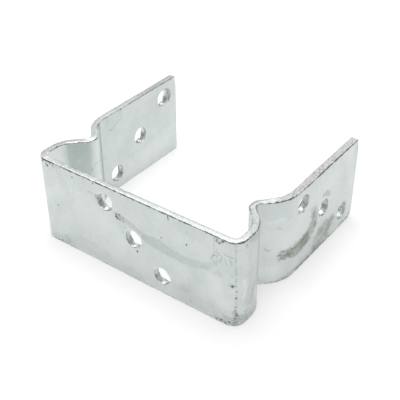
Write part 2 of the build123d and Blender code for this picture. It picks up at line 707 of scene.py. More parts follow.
@dataclass(frozen=True)
class PressMarks:
    """The marks of the press, the zinc bath, the yard and the bin that stand out on this bracket.

    Each pen draws on one broad face. A point of a mark is how far along its part of the strip
    it is, how far up, and how wide the mark is there, in millimetres. Some marks are painted shade
    and painted highlights by the folds.
    """

    front: Pen = Pen(Part.FRONT, Side.OUTER)
    right: Pen = Pen(Part.RIGHT_WING, Side.OUTER)
    left: Pen = Pen(Part.LEFT_WING, Side.INNER)

    def strokes(self) -> list[Stroke]:
        """Draws all the marks. A mark's place in the list decides its ragged outline.

        Returns:
            The marks.
        """
        return [
            *self.gouge(),
            *self.zinc_runs(),
            *self.bend(),
            *self.yard_grime(),
            *self.bin_scratches(),
            *self.right_wing(),
            *self.left_wing(),
            *self.pin_holes(),
            *self.shear_ticks(),
        ]

    def gouge(self) -> list[Stroke]:
        """Draws where the folding tool's corner slipped: a gouge that widens into a dull band.

        Returns:
            The marks.
        """
        front = self.front
        return [
            front((-8, 29.6, 0.6), (-7.4, 28.4, 0.9), (-7.2, 27.4, 0.7), depth=0.22, lip=0.06, soil=0.64,
                  ragged=0.4),
            front((-7.2, 29.6, 0.5), (-4.6, 29.1, 0.6), (-2.4, 28.4, 0.4), (2, 27.2, 0.3), depth=0.12,
                  soil=0.58, ragged=0.3, fade=0.85),
            front((-7, 27.2, 0.5), (-4.3, 26.8, 0.6), (-2, 26.2, 0.3), depth=0.1, soil=0.6, ragged=0.3),
            front((-6.2, 28.4, 1.2), (-4, 28, 1), stain=0.24, bloom=0.3, soft=0.7, ragged=0.4),
            front((-8.4, 28.2, 0.4), (-7.6, 26.8, 0.4), depth=0.1, soil=0.42, ragged=0.3),
            front((-5.6, 29.4, 0.4), (-4.8, 27.6, 0.5), depth=0.1, soil=0.36, ragged=0.3),
            front((-9.2, 29.6, 0.4), (-8.9, 28.6, 0.4), soil=0.45, ragged=0.3),
            front((-6.5, 28.3, 2.4), (-3, 27.8, 2.4), (1.5, 26.6, 2.4), (4, 25.5, 2.4), stain=0.24,
                  depth=0.05, soft=0.6, ragged=0.35),
            front((6.6, 23.9, 3.8), (13, 23.5, 5.4), (18, 22.8, 4.8), (23, 22.1, 4), (28, 22.3, 3.8),
                  (33, 23.7, 3.4), (37.5, 25.6, 2.7), (39.9, 28.4, 1.4), stain=0.28, depth=0.06, soft=0.7,
                  ragged=0.4, fade=0.42),
            front((34, 22.8, 1.6), (41.8, 23.2, 2.4), stain=0.14, soft=0.8, ragged=0.3),
        ]

    def zinc_runs(self) -> list[Stroke]:
        """Draws the soft tones where the zinc ran and pooled.

        Returns:
            The marks.
        """
        front = self.front
        return [
            front((-34, 3.6, 6), (-24, 5, 8.5), (-10, 3.8, 6), (4, 2.4, 5), stain=0.15, soft=2.6,
                  ragged=1.4),
            front((24, 5, 9), (38, 5, 8), stain=0.15, soft=4, ragged=1.6),
            front((2, 33, 9), (16, 32, 8), stain=0.05, soft=5, ragged=1.6),
            front((-44, 2.4, 3), (-36, 3.2, 4.5), stain=0.16, soil=0.2, soft=2.4, ragged=1.2),
            front((26, 9, 5), (34, 17, 6), stain=0.12, soft=3, ragged=1.5),
            *(
                front(*path, bloom=bloom, soft=soft, ragged=ragged)
                for bloom, soft, ragged, *path in (
                    (0.3, 6, 2, (-25, 27, 10), (-8, 17, 12)),
                    (0.3, 4, 1.5, (-46, 22, 5), (-38, 28, 7)),
                    (0.45, 5, 0.8, (39, 19, 6), (42.5, 11, 8)),
                    (0.2, 4, 1.6, (24, 31, 5), (34, 30, 6)),
                    (0.6, 0.5, 0.4, (-31.2, 31.2, 0.5), (-31, 29.2, 0.5)),
                    (0.5, 0.6, 0.4, (-30.2, 23.8, 0.6), (-31, 22.4, 0.5)),
                )
            ),
            front((-26.8, 30.5, 0.7), bloom=0.8, ragged=0.3),
            front((11, 33.8, 0.7), (12.4, 33.2, 0.7), bloom=0.5, soft=0.5, ragged=0.4),
            front((-3.4, 23.8, 0.7), (-4.4, 21.2, 0.6), stain=0.3, soft=0.5, ragged=0.3),
        ]

    def bend(self) -> list[Stroke]:
        """Draws painted shade down the bend, a few marks, and a chain of dents from a burr on the tool.

        Returns:
            The marks.
        """
        front = self.front
        return [
            # Painted shade: soft darker bands down the bend, where it reflects darker parts of the room.
            front((54, 40, 6), (54.5, 22, 7), (55, 0, 9), stain=0.1, soft=3.5, ragged=1),
            front((57.5, 14, 5), (55, 0, 12), stain=0.08, soft=5, ragged=1.2),
            front((51, 39, 6), (51, 26, 7), (52.5, 12, 9), stain=0.07, soft=3, ragged=1.6),
            front((49.9, 22, 0.8), (50.6, 18, 1.4), (49.6, 13.4, 0.8), bloom=0.6, soft=1, ragged=0.5),
            # Painted shade where the bend turns out of view.
            front((60.2, 41, 3.6), (60, 20, 2.8), (60.2, 7, 1), stain=0.28, soft=2.6, ragged=0.7,
                  brushed=0.3),
            front((60, 42, 2.6), (60.2, -2, 2.6), stain=0.14, soft=2.4, ragged=0.4),
            front((54.6, 11, 1), (56, 14.6, 1.2), (58.6, 18.4, 0.8), stain=0.22, soft=0.9, ragged=0.5),
            front((54.8, 9, 3), (57.4, 5, 4), (55, 0.6, 3), stain=0.12, soil=0.04, soft=2.4, ragged=1.6),
            front((53, 38.8, 3), (57.4, 37.4, 4), stain=0.24, soft=1.8, ragged=1),
            front((46.5, 19.7, 1.3), depth=0.2, lip=0.08, soil=0.5, ragged=0.45),
            front((46.4, 19.8, 2.4), stain=0.22, soft=0.8, ragged=0.5),
            *(
                front((along, up, width), depth=0.1, soil=soil, ragged=ragged)
                for along, up, width, soil, ragged in (
                    (47, 24.8, 0.6, 0.52, 0.3), (47.3, 22.1, 0.7, 0.52, 0.3), (46.2, 24.3, 0.8, 0.35, 0.4),
                    (47.8, 21.3, 0.7, 0.48, 0.4), (47.2, 26.5, 0.7, 0.5, 0.3), (47.6, 23.3, 0.6, 0.4, 0.3),
                    (47.7, 17.1, 0.8, 0.6, 0.3), (47.5, 13.9, 0.9, 0.6, 0.3), (47.3, 9.4, 0.9, 0.6, 0.3),
                )
            ),
            front((47.1, 39.3, 0.4), (47.2, 30, 0.35), (47.5, 18, 0.4), (47.4, 6, 0.5), stain=0.27,
                  ragged=0.2),
            front((50.3, 38.2, 0.7), soil=0.55, ragged=0.4),
            front((50.7, 36.3, 0.7), soil=0.55, ragged=0.4),
        ]

    def yard_grime(self) -> list[Stroke]:
        """Draws the grime of the yard that the bracket stood in, on its lower corner and its foot.

        Returns:
            The marks.
        """
        front = self.front
        return [
            front((43, 1.2, 3), (48, 3, 6.4), (52, 1.6, 4), soil=0.26, stain=0.26, soft=2.4, ragged=1.8),
            front((47.2, 0.8, 1.6), (47.7, 4.2, 1.7), (47.4, 7.8, 1.1), soil=0.14, stain=0.16, soft=1.2,
                  ragged=0.9),
            front((48.2, 4.8, 1.2), bloom=0.7, soft=0.5, ragged=0.2),
            front((45.6, 7, 0.9), (47, 7.4, 1), (48.8, 5.2, 1.8), soil=0.26, soft=1, ragged=0.9),
            front((37.9, 0.7, 0.9), (42, 1, 1.5), (46.6, 0.7, 1.9), soil=0.45, soft=0.9, ragged=1.2),
            front((-44.5, 0.4, 1), (-40, 0.7, 1.6), (-34, 0.4, 1), soil=0.4, soft=0.9, ragged=0.8),
            front((28.4, 3.6, 0.8), (28.8, 2.2, 0.7), soil=0.45, ragged=0.4),
            # Under the top edge.
            front((38.8, 38.9, 1.6), (41.2, 38.4, 2.4), (43.6, 38.9, 1.4), soil=0.4, stain=0.16, soft=1.4,
                  ragged=1),
            front((-45.6, 38.4, 2.2), (-42.4, 37.6, 2.6), (-35.5, 39.2, 1), soil=0.26, stain=0.1, soft=1.6,
                  ragged=1.2),
        ]

    def bin_scratches(self) -> list[Stroke]:
        """Draws scratches from other pieces in the bin.

        Returns:
            The marks.
        """
        front = self.front
        return [
            front((39.2, 38, 0.3), (39.3, 33, 0.35), (39, 28, 0.25), stain=0.35),
            *(
                front(*path, depth=0.05, stain=stain)
                for stain, *path in (
                    (0.5, (37.9, 28.6, 0.5), (38.8, 30.9, 0.5), (40.4, 31.4, 0.4)),
                    (0.45, (39.8, 33, 0.4), (42.6, 32, 0.4)),
                    (0.36, (41, 34.2, 0.3), (40.2, 26.8, 0.3)),
                    (0.5, (41.6, 28.8, 0.4), (42.5, 31.4, 0.4)),
                    (0.5, (43.4, 33.8, 0.4), (46.4, 33, 0.4)),
                    (0.42, (43.8, 31.9, 0.3), (44.6, 29, 0.4)),
                    (0.4, (45.6, 32.2, 0.4), (46.2, 29.6, 0.3)),
                    (0.5, (-21.6, 33.9, 0.35), (-16.4, 33.8, 0.35)),
                )
            ),
            front((-17.2, 33.2, 1), (-16.2, 31.6, 0.8), soil=0.5, soft=0.7, ragged=0.5),
        ]

    def right_wing(self) -> list[Stroke]:
        """Draws a long dull crescent and its echo where the press's punch slid down the wing.

        Returns:
            The marks.
        """
        right = self.right
        return [
            right((54.8, 13.2, 4.6), (51, 12.9, 5.8), (47, 12.2, 6.8), (43, 12.2, 7.2), (40.6, 12.8, 6.4),
                  stain=0.56, depth=0.04, soft=1.6, ragged=1.1, brushed=0.35, fade=0.1),
            right((41.4, 12.8, 6.8), (38, 14, 7.4), (35.4, 17, 7.2), (34.4, 21.4, 6.2), (34.8, 24.8, 3.4),
                  stain=0.45, soft=3, ragged=1.6, brushed=0.3, fade=0.25),
            right((51, 12.4, 4.8), (45, 12.2, 5.4), (40.8, 12.8, 5), stain=0.34, soil=0.26, soft=2.4,
                  ragged=1.1, brushed=0.5),
            right((55.2, 13, 4.4), (53.2, 12.4, 4.4), (50, 11.6, 2.6), soil=0.46, soft=1.2, ragged=0.9,
                  brushed=0.4, fade=0.4),
            right((51.6, 14.4, 1.6), (46.4, 14.2, 1.2), bloom=0.45, soft=0.8, ragged=0.6, brushed=0.6),
            right((34.9, 23, 1), (35.2, 20, 1.4), stain=0.3, soil=0.1, soft=0.9, ragged=0.8),
            right((33.8, 16.8, 1.6), (33.4, 14.4, 1.2), stain=0.36, soil=0.14, soft=0.8, ragged=0.8),
            right((32, 5.4, 6), (27, 7, 10), (21.6, 7.4, 9.6), (18.8, 8.6, 5), stain=0.38, soft=3.6,
                  ragged=2.2, brushed=0.3),
            right((31.4, 9, 3), (26, 10.4, 3.6), (21, 10.6, 2.8), stain=0.2, soft=2.4, ragged=1.5),
            right((21.4, 7.2, 2.8), (18.4, 9.6, 2.6), stain=0.32, soil=0.12, soft=1.8, ragged=1.2),
            right((24.4, 5.4, 3.2), (21.6, 3, 3.2), stain=0.3, soil=0.12, soft=1.8, ragged=1.2),
            right((29.4, 10.4, 2.2), (26.6, 7.4, 2.8), stain=0.26, soil=0.06, soft=1.8, ragged=1.2),
            right((32, 3.6, 2.8), (28, 2.8, 3.4), stain=0.26, soil=0.1, soft=1.8, ragged=1.2),
            right((55, 1.4, 2.4), (46, 1.8, 3.4), (38, 1.8, 3.8), (27, 1, 3.2), stain=0.25, soil=0.1,
                  soft=2.2, ragged=1.2),
            right((50, 0.2, 1.2), (42, 0.4, 1.8), (30, 0.4, 2.2), (18, 0.2, 1.4), stain=0.4, soil=0.34,
                  soft=0.9, ragged=0.9),
            right((60, 0.2, 0.8), (52, 0.3, 1), stain=0.4, soft=0.6, ragged=0.4),
            right((41.5, 34.8, 1.4), (40.4, 33, 1.2), stain=0.3, soil=0.1, soft=0.9, ragged=0.6),
            right((28.6, 27, 1.6), (25.6, 26.7, 3), (23.2, 24.9, 2.4), stain=0.34, soil=0.06, soft=1.4,
                  ragged=0.6),
            right((8.4, 12.2, 1.3), (6, 10.6, 1.2), stain=0.3, soil=0.1, soft=0.8, ragged=0.5),
            right((64.2, 27, 4.6), (58.8, 26.6, 4.5), (53.2, 25.4, 3.6), stain=0.09, soft=2.2, ragged=1.2),
            right((61, 30.4, 1.6), (54.8, 31, 1.2), bloom=0.4, soft=1.2, ragged=0.6),
            # Painted light: lifts the foot of the shoulder, where the surface curves away into shade.
            right((80, 8, 9), (60, 5, 9), bloom=0.75, soft=6, ragged=1),
            right((60, 20, 16), (20, 30, 14), bloom=0.35, soft=8, ragged=3),
            right((8, 38, 8), (3, 20, 6), bloom=0.4, soft=5, ragged=1),
            right((36.5, 24.5, 3.6), (34.4, 19, 5), (36.6, 15, 5), stain=0.2, soft=2.8, ragged=1.2),
            right((61.5, 20, 0.3), (62.4, 18.6, 0.4), (61.2, 17, 0.4), (59.5, 17.2, 0.3), stain=0.4,
                  soft=0.4, ragged=0.3),
            right((62.4, 24.2, 0.6), soil=0.22, ragged=0.4),
            right((58.5, 27.8, 0.6), (56.4, 27, 0.5), stain=0.18, ragged=0.3),
            right((12, 0.8, 1.4), (4, 0.8, 1.8), (0.4, 1.2, 2.2), soil=0.45, soft=1, ragged=0.8),
        ]

    def left_wing(self) -> list[Stroke]:
        """Draws the wing's inner marks, bands of painted highlight, and the torn rim of its last hole.

        Returns:
            The marks.
        """
        left = self.left
        return [
            left((49.4, 33.4, 0.35), (46.4, 32.4, 0.4), depth=0.05, stain=0.4),
            left((46.4, 32.4, 0.4), (38.9, 35.6, 0.3), depth=0.05, stain=0.4),
            # Painted highlights: crisp pale bands down the fold, which leave a darker band between them.
            left((88, 42, 17.6), (88, -2, 17.6), bloom=0.9, soft=0.9, ragged=0.1),
            left((63.6, 42, 12.4), (63.6, -2, 12.4), bloom=0.5, soft=1.2, ragged=0.1),
            left((20, 34, 9), (3, 32, 9), stain=0.05, soft=6, ragged=2),
            # Another band of painted highlight.
            left((74.6, 42, 8.8), (74.6, -2, 8.8), bloom=0.34, soft=1.2, ragged=0.1),
            left((55.6, 41, 2), (55.8, 24, 1.8), (55.4, 2, 1.4), stain=0.5, soft=1.5, ragged=0.2),
            left((66, 40.6, 0.6), (60, 38.2, 1), (57.4, 36.4, 0.4), stain=0.3, soft=1, ragged=0.3),
            left((48.4, 39, 0.35), (48.2, 36.7, 0.4), depth=0.05, stain=0.45),
            left((34, 12, 0.7), (32.9, 9.8, 0.6), stain=0.18, ragged=0.4),
            left((34.2, 10.8, 0.5), (33, 11.4, 0.4), bloom=0.8, ragged=0.3),
            left((34, 6, 9), (12, 8, 10), bloom=0.4, soft=6, ragged=2),
            left((32, 9, 0.4), (28.6, 5.6, 0.3), stain=0.25, ragged=0.2),
            left((32.7, 30, 0.6), soil=0.4, ragged=0.4),
            left((12.6, 23.8, 0.7), soil=0.35, ragged=0.4),
            left((76.2, 29.6, 0.4), (74.2, 31.4, 0.5), (76.4, 28.2, 0.5), bloom=0.9, stain=0.1, ragged=0.4),
            left((70.1, 25.7, 0.7), soil=0.5, ragged=0.5),
            left((69, 28, 0.5), (66.4, 28.5, 0.4), stain=0.5, soil=0.3, ragged=0.2),
            left((68.2, 24.1, 0.4), (58.2, 17.8, 0.3), stain=0.3, ragged=0.2),
            left((24, 38.6, 1.2), (30, 38.9, 0.9), soil=0.2, stain=0.1, soft=0.8, ragged=0.6),
            left((7.6, 36, 0.8), (5.6, 34.2, 1.6), (5, 31.8, 1.8), (5.8, 29.6, 0.8), depth=0.55, stain=0.35,
                 soft=0.5, ragged=0.2),
        ]

    def pin_holes(self) -> list[Stroke]:
        """Draws specks of dirt in pin holes.

        Returns:
            The marks.
        """
        return [
            self.front((along, up, width), depth=0.06, soil=0.68, ragged=0.3)
            for along, up, width in (
                (-39.7, 19.4, 0.8), (-22.6, 13.2, 0.6), (2.6, 15.2, 1.1), (26.7, 30, 0.7),
                (-36.4, 35.6, 0.5), (-16.5, 19.1, 0.4), (14.9, 27.6, 0.5), (-38.4, 35.5, 0.5),
                (1.6, 14.6, 0.5), (26.8, 35.2, 0.4), (-45.4, 39.2, 0.9), (-44.2, 38.6, 0.7),
                (-43, 37.6, 0.9), (-42, 36.6, 0.6), (-41.6, 39, 0.7), (-40.2, 38.6, 0.5), (-36.2, 39, 0.7),
                (-29.5, 37.3, 0.8), (-28.6, 37.8, 0.5), (40.2, 38.8, 0.8), (41.6, 37.8, 0.7),
                (42.8, 39, 0.8), (39.4, 37.6, 0.5), (50.5, 37.6, 0.6), (-18.4, 33, 0.7),
            )
        ]

    def shear_ticks(self) -> list[Stroke]:
        """Draws ticks where the shear blade dragged down from the top edge.

        Returns:
            The marks.
        """
        looks = {"depth": 0.12, "soil": 0.68, "ragged": 0.25}
        return [
            self.front((along, 40.2, 0.9), (along + lean, 40 - length, 0.4), **looks)
            for along, length, lean in (
                (-18.6, 1.6, 0.3), (-4.3, 1, 0.2), (-0.8, 1.5, 0.1), (9.8, 0.9, -0.2), (18.2, 2.2, 0.3),
                (26, 1.3, -0.2), (30.4, 0.8, 0.1), (35.2, 1, 0),
            )
        ]


@dataclass(frozen=True)
class Handling:
    """The small scratches, specks and knocks that bins and shelves leave on every side.

    A pair is the least and the most that a random draw may give.
    """

    line: FoldLine
    height: float
    half: float
    scratches: int = 46
    scratch_gap: float = 4.0
    scratch_foot: float = 2.0
    scratch_tip: float = 1.0
    scratch_lean: Span = (-1.2, 1.2)
    scratch_length: Span = (2.0, 9.0)
    scratch_width: Span = (0.25, 0.4)
    scratch_end: float = 0.2
    scratch_tone: Span = (0.06, 0.2)
    scratch_depth: float = 0.02
    specks: int = 90
    speck_gap: float = 2.0
    speck_foot: float = 1.5
    speck_width: Span = (0.3, 0.6)
    speck_tone: Span = (0.2, 0.5)
    speck_ragged: float = 0.3
    nicks: int = 90
    nick_radius: Span = (0.4, 1.1)
    nick_depth: Span = (0.08, 0.26)
    nick_tone: Span = (0.1, 0.9)
    seed: int = 41

    def strokes(self) -> list[Stroke]:
        """Draws random faint scratches and specks over both broad faces.

        Returns:
            The marks, turn about on the outer and the inner face.
        """
        rng = np.random.default_rng(self.seed)
        pens = [Pen(Part.FRONT, side) for side in (Side.OUTER, Side.INNER)]
        made: list[Stroke] = []
        for index in range(self.scratches):
            along = rng.uniform(self.line.left_end + self.scratch_gap, self.line.right_end - self.scratch_gap)
            up = rng.uniform(self.scratch_foot, self.height - self.scratch_foot)
            lean, length = rng.uniform(*self.scratch_lean), rng.uniform(*self.scratch_length)
            end_up = np.clip(up + length * math.sin(lean), self.scratch_tip, self.height - self.scratch_tip)
            start = (along, up, rng.uniform(*self.scratch_width))
            end = (along + length * math.cos(lean), float(end_up), self.scratch_end)
            tone = rng.uniform(*self.scratch_tone)
            made.append(pens[index % 2](start, end, stain=tone, depth=self.scratch_depth))
        for index in range(self.specks):
            along = rng.uniform(self.line.left_end + self.speck_gap, self.line.right_end - self.speck_gap)
            up = rng.uniform(self.speck_foot, self.height - self.speck_foot)
            place = (along, up, rng.uniform(*self.speck_width))
            made.append(pens[index % 2](place, soil=rng.uniform(*self.speck_tone), ragged=self.speck_ragged))
        return made

    def knocks(self) -> list[Nick]:
        """Knocks all four long arrises at random.

        Returns:
            The knocks.
        """
        rng = np.random.default_rng(self.seed + 1)
        return [
            Nick(
                rng.uniform(self.line.left_end, self.line.right_end),
                float(rng.choice((0.0, self.height))),
                float(rng.choice((-self.half, self.half))),
                rng.uniform(*self.nick_radius),
                rng.uniform(*self.nick_depth),
                rng.uniform(*self.nick_tone),
            )
            for _ in range(self.nicks)
        ]


@dataclass(frozen=True)
class CutEdge:
    """How the long cut edges look at stops along the strip, between which they change evenly.

    Each stop is a distance along the strip, then how dark the shade painted along the outer arris
    is there and how wide that is, the same for the inner arris, the level through the strip below
    which the cut is torn, the level above which it is torn, how strongly the tears show, and how
    much paler the rest is painted, as a painted highlight; the rest is rubbed a little grey too.
    """

    stops: tuple[tuple[float, ...], ...] = (
        (-92, 0.5, 0.8, 0.85, 0.4, 2, 0.2, 0.26, 0),
        (-86, 0.5, 0.8, 0.85, 0.45, 2, 0, 0.28, 0),
        (-74, 0.5, 0.7, 0.7, 0.5, 0, -0.6, 0.3, 0.3),
        (-70, 0.55, 0.5, 0.75, 0.5, -3, 1.1, 0.3, 1),
        (-56, 0.6, 0.5, 1, 0.5, -3, 1.1, 0.4, 1),
        (-51, 0.95, 0.6, 0.5, 0.5, -0.9, -2, 0.65, 0.2),
        (-47, 0.95, 0.5, 0.1, 0.5, -0.9, 3, 0.25, 0.6),
        (-20, 0.9, 0.5, 0.1, 0.5, -0.9, 3, 0.22, 0.6),
        (0, 0.9, 0.5, 0.2, 0.5, -0.4, 3, 0.4, 0.3),
        (44, 1, 0.5, 0.3, 0.5, -0.3, 3, 0.4, 0.1),
        (50, 1, 0.6, 0.35, 0.6, -0.4, 3, 0.45, 0.1),
        (56, 0.9, 0.8, 0.6, 0.9, 2, 3, 0.5, 0),
        (70, 0.85, 0.8, 0.6, 0.9, 2, 3, 0.5, 0),
        (73, 0.7, 0.45, 0.4, 0.5, -1, 3, 0.2, 0.9),
        (81, 0.8, 0.5, 0.3, 0.5, -0.8, 3, 0.3, 0.9),
        (88, 1, 0.55, 0.3, 0.5, 1.2, 3, 0.9, 0),
        (134, 1, 0.6, 0.4, 0.5, 2, 3, 1, 0),
        (139, 0.5, 0.45, 0.5, 0.5, 2, 3, 1, 0),
    )
    rubbed: float = 0.35

    def at(self, along: np.ndarray) -> list[np.ndarray]:
        """All the looks, in their order in a stop, at distances along the strip."""
        places, *looks = np.array(self.stops).T
        return [np.interp(along, places, look) for look in looks]


@dataclass(frozen=True)
class Shearing:
    """What the shear and the press did to the strip's cut edges, in millimetres.

    The blade left the edges wavy and the press squeezed them out and in at the bends. One
    stretch of the top is rolled over, another has a burr, and the ends are drawn in. A pair
    is where something starts to show and where it is whole.
    """

    line: FoldLine
    height: float
    half: float
    cut: CutEdge = CutEdge()
    setback: float = 0.1
    edge_reach: Span = (3.0, 0.0)
    top_waver: Grain = Grain(20, (((16.0, EVEN, 2.2), 0.1), ((3.5, EVEN, 1.6), 0.04)))
    foot_waver: Grain = Grain(30, (((16.0, EVEN, 2.2), 0.1), ((3.5, EVEN, 1.6), 0.04)))
    right_waver: Grain = Grain(40, (((EVEN, 12.0, 2.2), 0.1),))
    left_waver: Grain = Grain(50, (((EVEN, 12.0, 2.2), 0.1),))
    bulge: float = 0.35
    bulge_limit: float = 0.4
    rollover: float = 0.55
    rollover_place: float = 42.0
    rollover_spread: float = 13.0
    rollover_side: Span = (-0.6, 1.2)
    burr: float = 0.42
    burr_drop: Span = (1.4, 0.0)
    burr_run: Span = (92.0, 117.0)
    end_rounding: float = 1.3
    end_drop: Span = (4.2, 1.2)
    corner_loss: float = 0.7
    corner_reach: Span = (4.0, 0.0)
    wall_steepness: float = 1.3
    arris_fade: Span = (1.2, 0.2)
    patches: Grain = Grain(64, (((1.3, EVEN, EVEN), 1.0), ((4.0, EVEN, EVEN), 0.6)))
    patch_reach: float = 0.12
    patch_tone: Span = (0.85, 0.35)
    palest_patch: float = 0.45
    tear_waver: Grain = Grain(60, (((2.2, EVEN, EVEN), 0.25), ((0.7, EVEN, EVEN), 0.15)))
    tear_blend: Span = (-0.25, 0.25)
    tear_grain: Grain = Grain(62, (((0.75, 0.75, 0.6), 0.04),))
    shear_grain: Grain = Grain(63, (((0.8, EVEN, 2.5), 0.035),))
    grain_limit: float = 0.06
    grain_sink: float = 0.02

    def wall(self, skin: Skin) -> np.ndarray:
        """How far each vertex has turned from a broad face into a cut wall, from 0 to 1."""
        return ease(self.wall_steepness * (1 - abs(skin.normals[:, 2])))

    def shape(self, skin: Skin, places: np.ndarray) -> None:
        """Sets the edges back, wavers them, and rolls, burrs and rounds them.

        Args:
            skin: The skin, whose vertices are moved.
            places: Where the vertices were before any wear.
        """
        along, _, through = places.T
        from_right, from_left, below_top, above_foot = self.line.gaps(places, self.height)
        bend = np.clip(-self.line.smooth_bend(along) * through, -self.bulge_limit, self.bulge_limit)
        rolled = self.rollover * np.exp(-(((from_right - self.rollover_place) / self.rollover_spread) ** 2))
        rolled *= ease(through, *self.rollover_side)
        for axis, sign, gap, waver, squeezed, extra in (
            (1, 1, below_top, self.top_waver, bend * self.bulge, rolled),
            (1, -1, above_foot, self.foot_waver, bend * self.bulge, 0.0),
            (0, 1, from_right, self.right_waver, 0.0, 0.0),
            (0, -1, from_left, self.left_waver, 0.0, 0.0),
        ):
            inward = np.clip(self.setback + waver.on(places) - squeezed, 0.0, None) + extra
            skin.places[:, axis] -= sign * ease(gap, *self.edge_reach) * inward
        hung = ease(below_top, *self.burr_drop) * ease(along, *self.burr_run) * ease(through, 0, -self.half)
        skin.places[:, 2] -= self.burr * hung
        from_end = np.clip(np.minimum(from_right, from_left), 0, self.end_rounding)
        lost = self.end_rounding - np.sqrt(self.end_rounding**2 - (self.end_rounding - from_end) ** 2)
        skin.places[:, 2] *= 1 - ease(below_top, *self.end_drop) * lost / self.half
        corner = self.corner_loss * ease(np.hypot(from_right, above_foot), *self.corner_reach)
        skin.places[:, :2] += corner[:, None] * (-1, 1)

    def mark(self, skin: Skin, places: np.ndarray) -> None:
        """Paints shade along the arrises and a highlight on the sheared band, marks the torn band, and
        roughens the cut.

        Args:
            skin: The skin, whose wear and edge columns are filled.
            places: Where the vertices were before any wear.
        """
        along, _, through = places.T
        outer_arris_shade, outer_reach, inner_arris_shade, inner_reach, *rest = self.cut.at(along)
        torn_below, torn_above, grey, sheared_highlight = rest
        cut = skin.zones == Zone.SHEARED.value
        wall = np.where(cut, self.wall(skin), 0.0)
        patches = self.patches.on(places)
        gap = np.clip(self.line.gaps(places, self.height).min(axis=0), 0, None)
        reach = np.where(through > 0, outer_reach, inner_reach) + self.patch_reach * patches
        tone = np.clip(self.patch_tone[0] + self.patch_tone[1] * patches, self.palest_patch, 1)
        # Painted shade: a dark line along each arris, for the dark room that the rounded arris reflects.
        line = np.where(through > 0, outer_arris_shade, inner_arris_shade) * tone
        waver = self.tear_waver.on(places)
        torn = ease(np.maximum(torn_below + waver - through, through + waver - torn_above), *self.tear_blend)
        band = np.maximum(torn, self.cut.rubbed) * wall
        from_arris = np.hypot(gap, self.half - abs(through))
        skin.edge[:] = np.column_stack([wall, ease(from_arris / reach, *self.arris_fade) * line, band * grey])
        # Painted highlight: the sheared part of the cut is painted paler.
        skin.wear_and_light[:, 2] = np.where(cut, (wall - band) * sheared_highlight, skin.wear_and_light[:, 2])
        rough = self.tear_grain.on(places) * band + self.shear_grain.on(places) * (wall - band)
        outward = np.clip(rough, None, self.grain_limit) - self.grain_sink
        skin.places += skin.normals * np.where(cut, outward, 0.0)[:, None]


@dataclass(frozen=True)
class Punching:
    """What the punch did to the rims and bores of the holes, in millimetres.

    It drew the faces in round each hole and tore the far part of the bore. A highlight is painted
    on the foot of the bore and over its upper mouth, and painted shade, a dark reflection, lies in
    mottled patches on the rest. A dark line is painted round each rim. A pair is where something
    starts to show and where it is whole, and heights up a bore are in radii.
    """

    half: float
    shearing: Shearing
    reach: float = 6.0
    dish_depth: float = 0.12
    dish_reach: float = 1.6
    inner_dish: float = 0.35
    rim_shade: float = 0.34
    rim_shade_reach: float = 0.45
    torn_below: float = 0.1
    torn_share: float = 0.3
    tear_waver: Grain = Grain(70, (((2.2, 2.2, EVEN), 0.5),))
    tear_grain: Grain = Grain(80, (((0.7, 0.7, 0.7), 0.04),))
    shear_grain: Grain = Grain(90, (((0.55, 0.55, 9.0), 0.035),))
    grain_lift: float = 0.02
    bore_shade_grain: Grain = Grain(100, (((1.3, 1.3, 1.8), 1.0), ((0.6, 0.6, 4.0), 0.9)), 10)
    bore_shade_cover: Span = (-0.3636, 0.5455)
    bore_shade: float = 0.48
    bore_highlight: float = 0.5
    pool: Span = (-0.4, -1.0667)
    upper: Span = (0.0556, 0.6111)
    mouth: Span = (0.0, 0.8)
    low_bore_hides: float = 0.8
    upper_hides: float = 0.45
    mouth_hides: float = 0.9

    def mark(self, skin: Skin, places: np.ndarray, hole: Hole, number: int) -> None:
        """Draws the faces in round one hole, and marks its rim and its bore with painted shade and
        highlights.

        Args:
            skin: The skin, which is changed.
            places: Where the vertices were before any wear.
            hole: The hole.
            number: The hole's number, which decides its random marks.
        """
        along, up, through = places.T
        away = np.hypot(along - hole.along, up - hole.up) - hole.radius
        near = away < self.reach
        dish = np.where(near, np.exp(-np.clip(away, 0, self.reach) / self.dish_reach), 0.0)
        skin.places[:, 2] -= self.dish_depth * dish * np.where(through > 0, 1.0, self.inner_dish)
        # Painted shade: a dark line round the rim, for the dark room that the rounded rim reflects.
        rim = np.hypot(np.clip(away, 0, None), self.half - abs(through)) / self.rim_shade_reach
        line = np.where(near, self.rim_shade * ease(rim, *self.shearing.arris_fade), 0)
        skin.edge[:, 1] = np.maximum(skin.edge[:, 1], line)
        bore = near & (skin.zones == Zone.BORE.value)
        spoke = np.arctan2(up - hole.up, along - hole.along)
        ring = np.column_stack([hole.radius * np.cos(spoke), hole.radius * np.sin(spoke), through])
        torn = ease(self.torn_below + self.tear_waver.on(ring, number) - through, *self.shearing.tear_blend)
        wall = self.shearing.wall(skin)
        rise = (up - hole.up) / hole.radius
        # Painted light in the bore: a highlight on its lower part and over its upper mouth, and painted
        # shade, a dark reflection, in mottled patches on the rest.
        pool, upper = ease(rise, *self.pool), ease(rise, *self.upper)
        mouth = upper * ease(through, *self.mouth)
        bore_shade = self.bore_shade * wall * ease(self.bore_shade_grain.on(ring, number), *self.bore_shade_cover)
        bore_shade *= (1 - self.low_bore_hides * pool) * (1 - self.upper_hides * upper) * (1 - self.mouth_hides * mouth)
        for column, values in (
            (skin.edge[:, 0], wall),
            (skin.edge[:, 2], self.torn_share * wall * torn),
            (skin.wear_and_light[:, 1], bore_shade),
            (skin.wear_and_light[:, 2], self.bore_highlight * np.maximum(wall * pool, mouth)),
        ):
            column[bore] = values[bore]
        rough = (self.tear_grain.on(ring, number) * torn + self.shear_grain.on(ring, number)) * wall
        skin.places += skin.normals * np.where(bore, rough + self.grain_lift, 0.0)[:, None]


